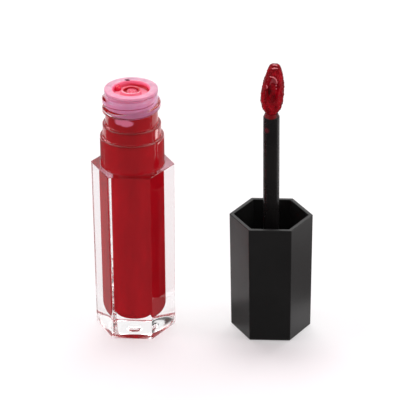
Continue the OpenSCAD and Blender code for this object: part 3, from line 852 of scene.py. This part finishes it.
ROW_HALF = 1.65     # half the gap between the row's two ridges, in pixels
row_x, row_y = POINTS["ridge_row"]
short_path = [(0.2, 0.0), (-0.2, -0.02)]
rim_path = [(1.0, -1.0), (1.05, -0.5), (0.8, 0.1), (0.3, 0.65), (-0.35, 0.95), (-1.0, 1.0)]
ridges = [
    wet_ridge("wet_ridge_rim", POINTS["ridge_rim"], rim_path, 0.23),
    wet_ridge("wet_ridge_low", (row_x, row_y - ROW_HALF), short_path, 0.18),
    wet_ridge("wet_ridge_lower", (row_x, row_y + ROW_HALF), short_path, 0.16),
    wet_ridge("wet_ridge_left", POINTS["ridge_left"], [(0.5, -0.1), (0.0, 0.1), (-0.45, 0.05)], 0.16),
    wet_ridge("wet_ridge_top", POINTS["ridge_top"], [(-0.1, -0.8), (0.1, 0.0), (0.05, 0.8)], 0.17),
    wet_ridge("wet_ridge_end", POINTS["ridge_end"], [(-0.05, -0.65), (0.05, 0.0), (-0.1, 0.65)], 0.15),
]

# ---------------------------------------------------------------- kept CAD nodes
for name, mat in (("inner_cap", LINER), ("wand_stem", STEM), ("seal_disc", SEAL), ("tip_core", CORE)):
    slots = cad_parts[name].data.materials
    slots.clear()
    slots.append(mat)

# ---------------------------------------------------------------- floor, light
WHITE = (1, 1, 1, 1)
FLOOR_DARK, FLOOR_LIGHT = (0.92, 0.865, 0.885, 1), (0.94, 0.885, 0.905, 1)
FLOOR_HALF, FLOOR_DROP = 2500, 0.05     # half the floor's side, and how far it lies below the bases (mm)
FADE_FROM, FADE_TO = 120, 400           # distance from the bottle over which the floor turns white
BACK_FROM, BACK_TO, BACK_WHITE = -16, 6, 0.6    # where painted light pales it behind the objects, in y, and how far


def pale_floor():
    """Pale floor that runs out into the white backdrop, sooner behind the object, where painted light pales
    the object's shadow.
    """
    look = Look("pale_floor", Roughness=0.55, IOR=1.4, Specular_IOR_Level=0.3)
    look.set(Base_Color=look.ramp(look.noise(12), (0.3, FLOOR_DARK), (0.7, FLOOR_LIGHT)))
    at = look.spot()
    far_off = look.step(at.radius, FADE_FROM, FADE_TO)
    # painted light: the floor glows towards white behind the objects, paling their shadow
    behind = look.step(at.y, BACK_FROM, BACK_TO, 0.0, BACK_WHITE)
    fade = look.both(look.math("MAXIMUM", far_off, behind), look.looked_at())
    white = look.node("Emission", {"Color": WHITE}).outputs["Emission"]
    look.show(look.mix(fade, look.shader.outputs["BSDF"], white))
    return look.material


corners = [(x * FLOOR_HALF, y * FLOOR_HALF, 0) for x, y in ((-1, -1), (1, -1), (1, 1), (-1, 1))]
floor = new_object("floor", corners, [(0, 1, 2, 3)], smooth=False)
floor.location.z = -FLOOR_DROP * MM
floor.data.materials.append(pale_floor())


def card_look(name, colour, other=None):
    """The glow of a card that only mirrors see, a painted reflection, plain or clouded between two colours.
    """
    look = Look(name)
    look.nodes.remove(look.shader)
    if other:
        colour = look.ramp(look.noise(3, 2), (0.3, colour), (0.7, other))
    look.show(look.node("Emission", {"Color": colour}).outputs["Emission"])
    return look.material


def grey(tone):
    """A grey a touch warmer than plain."""
    return tone, tone * 0.95, tone * 0.95, 1


def mirror_card(name, verts, faces, mat, through=False):
    """A card that only mirrors see, or also the light that comes through clear walls: a painted reflection.
    """
    obj = new_object(name, verts, faces, smooth=False)
    obj.data.materials.append(mat)
    obj.visible_camera = obj.visible_diffuse = obj.visible_shadow = False
    obj.visible_transmission = through


def floor_card(name, near, far, start, end, mat, height=0.03, steps=8):
    """Card on the floor round the bottle, between two radii (mm) and two bearings (degrees)."""
    bearings = [math.radians(start + (end - start) * i / steps) for i in range(steps + 1)]
    verts = [(r * cos(a), r * sin(a), height) for a in bearings for r in (near, far)]
    mirror_card(name, verts, [(2 * i, 2 * i + 1, 2 * i + 3, 2 * i + 2) for i in range(steps)], mat)


# dark sheet, a painted reflection of shade: on the floor from the front of both items towards the camera,
# then up
SHEET_REACH, SHEET_NEAR_Y, SHEET_TOP_Y, SHEET_TOP_Z, SHEET_Z = 420, -420, -640, 700, 0.02
FRONTS = ((-5.3, -9.3), (5.3, -9.3), (29.6, -7.7), (40.4, -7.3))


def sheet_far(start, bearing):
    """Where the sheet's side ends that leaves an item along a bearing in degrees."""
    a = math.radians(bearing)
    return start[0] + SHEET_REACH * cos(a), start[1] + SHEET_REACH * sin(a)


FLAG = card_look("flag", (0.14, 0.14, 0.14, 1), (0.2, 0.2, 0.2, 1))
left_far, right_far = sheet_far(FRONTS[0], 152), sheet_far(FRONTS[-1], 8)
sheet = [(x, y, SHEET_Z) for x, y in (left_far, *FRONTS, right_far)]
sheet += [(x, SHEET_NEAR_Y, SHEET_Z) for x in (right_far[0], left_far[0])]
sheet += [(x, SHEET_TOP_Y, SHEET_TOP_Z) for x in (left_far[0], right_far[0])]
mirror_card("flag", sheet, [(0, 1, 7), (1, 2, 3, 7), (3, 4, 6, 7), (4, 5, 6), (7, 6, 9, 8)], FLAG)
# cards on the floor that only mirrors see: painted dark and grey reflections and a painted glint
floor_card("left_card", 97, 118, 96, 156, FLAG)
floor_card("right_card", 97, 118, 18, 95, FLAG)
floor_card("grey_card", 56, 97, -4, 32, card_look("grey_card", grey(0.4)))
floor_card("side_card", 14, 97, 126, 200, card_look("side_card", grey(0.5)))
floor_card("foot_card", 11, 25, -30, 25, card_look("foot_card", grey(0.35)))
floor_card("glint_card", 117, 126, 17, 36, card_look("glint", grey(5.0)), height=0.06)
# dark card high up at the back left, seen in mirrors and through clear walls: painted shade
mirror_card("back_flag", [(-560, 330, 190), (-280, 540, 190), (-280, 540, 480), (-560, 330, 480)],
            [(0, 1, 2, 3)], card_look("back_flag", grey(0.07)), through=True)

# white backdrop, a little dimmer as light on the object than it looks
world = bpy.data.worlds.new("studio")
bpy.context.scene.world = world
world.use_nodes = True
sky = Graph(world.node_tree)
lit, shown = sky.nodes["Background"], sky.node("Background")
for shade, strength in ((lit, 0.7), (shown, 1.0)):
    shade.inputs["Color"].default_value = WHITE
    shade.inputs["Strength"].default_value = strength
sky.feed(sky.nodes["World Output"].inputs["Surface"],
         sky.mix(sky.looked_at(), lit.outputs["Background"], shown.outputs["Background"]))


def area_light(name, spot, target, size, power):
    """Soft lamp at a spot, turned to a target; its size is width and height."""
    data = bpy.data.lights.new(name, "AREA")
    data.shape = "RECTANGLE"
    data.size, data.size_y = size
    data.energy = power
    lamp = bpy.data.objects.new(name, data)
    lamp.location = spot
    lamp.rotation_euler = (Vector(target) - Vector(spot)).to_track_quat("-Z", "Y").to_euler()
    bpy.context.scene.collection.objects.link(lamp)


area_light("top_soft", (0.03, 0.5, 0.85), (0.02, 0, 0.02), (0.9, 0.7), 5.6)
area_light("left_soft", (-0.7, 0.05, 0.45), (0.01, 0, 0.03), (0.5, 0.6), 1.6)
area_light("right_soft", (0.75, 0.0, 0.5), (0.03, 0, 0.03), (0.35, 0.6), 1.4)

scene = bpy.context.scene
scene.view_settings.view_transform = "Standard"
# light runs round inside the clear walls many times before it leaves
scene.cycles.max_bounces = 24
scene.cycles.glossy_bounces = 20
scene.cycles.transmission_bounces = 20

# ---------------------------------------------------------------- how far things show from their points
RAY_LIFT = 0.05     # how far off a piece its rays start, in mm, so that they don't meet it


def seen(piece, solids=(), keep=lambda v: True):
    """Where a piece's finished vertices show, in pixels; keep picks among them by place in mm."""
    trees = [tree_of(obj) for obj in solids]
    out = []
    for v in (piece.data.vertices if piece else []):
        co = piece.matrix_world @ v.co
        back = (Vector(CAM_POS) - co).normalized()
        if keep(co / MM) and all(t.ray_cast(co + back * RAY_LIFT * MM, back)[0] is None for t in trees):
            out.append(to_px(co))
    return out


def middle(found, point):
    """How far the middle of what shows lies from a point."""
    if not found:
        return [None, None]
    return [(min(p[i] for p in found) + max(p[i] for p in found)) / 2 - point[i] for i in (0, 1)]


def furthest(found, point, way):
    """How far the showing vertex that lies furthest in an image direction is from a point."""
    best = max(found, key=lambda p: p[0] * way[0] + p[1] * way[1])
    return [best[0] - point[0], best[1] - point[1]]


stem_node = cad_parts["wand_stem"]
whole = [p for piece in (bottle, wiper, cap, tip, stem_node) for p in seen(piece)]
body = seen(bottle, keep=lambda v: v.z < BODY_H + 0.01)
cap_seen = seen(cap)
off = {
    "left": [min(p[0] for p in whole) - EDGES["left"], None],
    "right": [max(p[0] for p in whole) - EDGES["right"], None],
    "top": [None, min(p[1] for p in whole) - EDGES["top"]],
    "bottom": [None, max(p[1] for p in whole) - EDGES["bottom"]],
    "shoulder_right": furthest(body, POINTS["shoulder_right"], (1.0, -0.3)),
    "base_front_left": furthest(body, POINTS["base_front_left"], (-0.3, 1.0)),
    "base_front_right": furthest(body, POINTS["base_front_right"], (0.3, 1.0)),
    "cap_rim_left": furthest(cap_seen, POINTS["cap_rim_left"], (-1.0, 0.0)),
    "cap_base_front_left": furthest(cap_seen, POINTS["cap_base_front_left"], (-0.3, 1.0)),
    "mouth": middle(seen(wiper, keep=lambda v: v.z > LIP_Z - 0.52 and math.hypot(v.x, v.y) < MOUTH_R + 0.1),
                    POINTS["mouth"]),
    "stem_end": middle(seen(stem_node, keep=lambda v: v.z > STEM_TOP - 0.05), POINTS["stem_end"]),
    "gloss_drop": middle(seen(drop, [wiper]), POINTS["gloss_drop"]),
    "gloss_speck": middle(seen(speck, [wiper]), POINTS["gloss_speck"]),
    "stem_smear": [a - b for a, b in zip(to_px(smear_at * MM), POINTS["stem_smear"])],
    "tip_shade": [a - b for a, b in zip(to_px(dark_at * MM), POINTS["tip_shade"])],
    "ridge_rim": middle(seen(ridges[0], [tip]), POINTS["ridge_rim"]),
    "ridge_row": middle(seen(ridges[1], [tip]) + seen(ridges[2], [tip]), POINTS["ridge_row"]),
    "ridge_left": middle(seen(ridges[3], [tip]), POINTS["ridge_left"]),
    "ridge_top": middle(seen(ridges[4], [tip]), POINTS["ridge_top"]),
    "ridge_end": middle(seen(ridges[5], [tip]), POINTS["ridge_end"]),
}
{k: [v if v is None else round(v, 2) for v in d] for k, d in off.items()}
